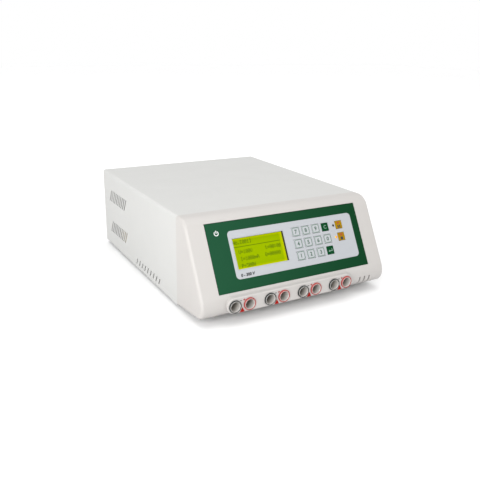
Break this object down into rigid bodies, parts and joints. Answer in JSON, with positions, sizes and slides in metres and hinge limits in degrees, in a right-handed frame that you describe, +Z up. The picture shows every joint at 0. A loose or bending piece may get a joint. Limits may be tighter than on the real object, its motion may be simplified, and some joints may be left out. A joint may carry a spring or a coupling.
{
  "type": "bench power supply",
  "caption": "Bench power supply: sheet case, sloping moulded front with keypad and graphic display, shrouded output sockets in pairs, vented sides, fan, mains inlet and switch at the rear.",
  "frame": {"origin": "on the bench plane under the feet, below the middle of the overall width and depth", "axes": "+Z up, +X to the object's left-to-right seen from the front, +Y from the front towards the rear"},
  "size_m": [0.27, 0.3609, 0.119],
  "materials": {
    "cover_paint": "fine-textured powder coat, light grey-white",
    "bezel_plastic": "moulded ABS, warm off-white, fine grain",
    "zinc_sheet": "zinc-plated sheet",
    "aluminium": "plain aluminium",
    "foot_rubber": "black rubber",
    "screw_steel": "zinc-plated screws",
    "green_film": "dark green printed polyester film",
    "grey_film": "light grey printed polyester film",
    "key_grey": "light grey key with a printed outline",
    "key_green": "dark green key",
    "key_ochre": "ochre key",
    "black_plastic": "black moulding",
    "lcd": "backlit yellow-green display glass",
    "board_green": "solder-masked board",
    "led_off": "unlit lamp",
    "led_on": "amber lamp",
    "collar_black": "charcoal ring",
    "collar_red": "red ring",
    "well_plastic": "off-white insulator",
    "brass": "nickel-free brass contact",
    "nylon": "natural nylon",
    "laminated_steel": "varnished laminations",
    "coil_tape": "yellow tape over copper winding",
    "can_sleeve": "dark blue sleeve",
    "ferrite": "wound ferrite ring",
    "terminal_green": "screw terminal housing",
    "lead_insulation": "silicone insulation",
    "ribbon": "grey ribbon cable",
    "chrome_wire": "plated wire",
    "blade_tin": "tinned blades"
  },
  "bodies": {
    "case": {"top_cover": "cover_paint", "base_tray": "zinc_sheet", "rear_panel": "cover_paint", "front_bezel": "bezel_plastic", "feet": "foot_rubber", "foot_screws": "screw_steel", "cover_screws": "screw_steel", "bezel_screws": "screw_steel", "panel_plate": "aluminium", "panel_overlay": "green_film", "keypad_face": "grey_film", "lcd_surround": "black_plastic", "lcd_glass": "lcd", "lcd_board": "board_green", "keypad_board": "board_green", "panel_studs": "brass", "tact_switches": "black_plastic", "led_idle": "led_off", "led_active": "led_on", "socket_collars_black": "collar_black", "socket_collars_red": "collar_red", "socket_insulators": "well_plastic", "socket_contacts": "brass", "socket_nuts": "nylon", "main_board": "board_green", "board_standoffs": "brass", "board_screws": "screw_steel", "transformer_core": "laminated_steel", "transformer_coil": "coil_tape", "heatsink": "aluminium", "power_transistors": "black_plastic", "capacitors": "can_sleeve", "choke": "ferrite", "terminal_block": "terminal_green", "output_leads": "lead_insulation", "ribbon_cable": "ribbon", "fan_frame": "black_plastic", "fan_guard": "chrome_wire", "fan_screws": "screw_steel", "mains_inlet": "black_plastic", "inlet_pins": "blade_tin", "switch_housing": "black_plastic", "earth_terminal": "brass"},
    "key_7": {"key_7": "key_grey"},
    "key_8": {"key_8": "key_grey"},
    "key_9": {"key_9": "key_grey"},
    "key_clear": {"key_clear": "key_green"},
    "key_4": {"key_4": "key_grey"},
    "key_5": {"key_5": "key_grey"},
    "key_6": {"key_6": "key_grey"},
    "key_0": {"key_0": "key_grey"},
    "key_1": {"key_1": "key_grey"},
    "key_2": {"key_2": "key_grey"},
    "key_3": {"key_3": "key_grey"},
    "key_enter": {"key_enter": "key_green"},
    "key_start": {"key_start": "key_ochre"},
    "key_stop": {"key_stop": "key_ochre"},
    "fan_rotor": {"fan_rotor": "black_plastic"},
    "fuse_drawer": {"fuse_drawer": "black_plastic"},
    "switch_rocker": {"switch_rocker": "black_plastic"}
  },
  "joints": [
    {"name": "key_7_press", "type": "slide", "parent": "case", "child": "key_7", "axis": [0, 0.8771, -0.4802], "range_m": [0, 0.0006], "stiffness_N_per_m": 1800, "springref_m": -0.0002},
    {"name": "key_8_press", "type": "slide", "parent": "case", "child": "key_8", "axis": [0, 0.8771, -0.4802], "range_m": [0, 0.0006], "stiffness_N_per_m": 1800, "springref_m": -0.0002},
    {"name": "key_9_press", "type": "slide", "parent": "case", "child": "key_9", "axis": [0, 0.8771, -0.4802], "range_m": [0, 0.0006], "stiffness_N_per_m": 1800, "springref_m": -0.0002},
    {"name": "key_clear_press", "type": "slide", "parent": "case", "child": "key_clear", "axis": [0, 0.8771, -0.4802], "range_m": [0, 0.0006], "stiffness_N_per_m": 1800, "springref_m": -0.0002},
    {"name": "key_4_press", "type": "slide", "parent": "case", "child": "key_4", "axis": [0, 0.8771, -0.4802], "range_m": [0, 0.0006], "stiffness_N_per_m": 1800, "springref_m": -0.0002},
    {"name": "key_5_press", "type": "slide", "parent": "case", "child": "key_5", "axis": [0, 0.8771, -0.4802], "range_m": [0, 0.0006], "stiffness_N_per_m": 1800, "springref_m": -0.0002},
    {"name": "key_6_press", "type": "slide", "parent": "case", "child": "key_6", "axis": [0, 0.8771, -0.4802], "range_m": [0, 0.0006], "stiffness_N_per_m": 1800, "springref_m": -0.0002},
    {"name": "key_0_press", "type": "slide", "parent": "case", "child": "key_0", "axis": [0, 0.8771, -0.4802], "range_m": [0, 0.0006], "stiffness_N_per_m": 1800, "springref_m": -0.0002},
    {"name": "key_1_press", "type": "slide", "parent": "case", "child": "key_1", "axis": [0, 0.8771, -0.4802], "range_m": [0, 0.0006], "stiffness_N_per_m": 1800, "springref_m": -0.0002},
    {"name": "key_2_press", "type": "slide", "parent": "case", "child": "key_2", "axis": [0, 0.8771, -0.4802], "range_m": [0, 0.0006], "stiffness_N_per_m": 1800, "springref_m": -0.0002},
    {"name": "key_3_press", "type": "slide", "parent": "case", "child": "key_3", "axis": [0, 0.8771, -0.4802], "range_m": [0, 0.0006], "stiffness_N_per_m": 1800, "springref_m": -0.0002},
    {"name": "key_enter_press", "type": "slide", "parent": "case", "child": "key_enter", "axis": [0, 0.8771, -0.4802], "range_m": [0, 0.0006], "stiffness_N_per_m": 1800, "springref_m": -0.0002},
    {"name": "key_start_press", "type": "slide", "parent": "case", "child": "key_start", "axis": [0, 0.8771, -0.4802], "range_m": [0, 0.0006], "stiffness_N_per_m": 1800, "springref_m": -0.0002},
    {"name": "key_stop_press", "type": "slide", "parent": "case", "child": "key_stop", "axis": [0, 0.8771, -0.4802], "range_m": [0, 0.0006], "stiffness_N_per_m": 1800, "springref_m": -0.0002},
    {"name": "fan_spin", "type": "hinge", "parent": "case", "child": "fan_rotor", "pos_m": [-0.07, 0.1621, 0.064], "axis": [0, 1, 0], "continuous": true},
    {"name": "fuse_drawer_slide", "type": "slide", "parent": "case", "child": "fuse_drawer", "axis": [0, 1, 0], "range_m": [0, 0.018]},
    {"name": "rocker_tip", "type": "hinge", "parent": "case", "child": "switch_rocker", "pos_m": [0.088, 0.1738, 0.096], "axis": [1, 0, 0], "range_deg": [-22, 0]}
  ]
}
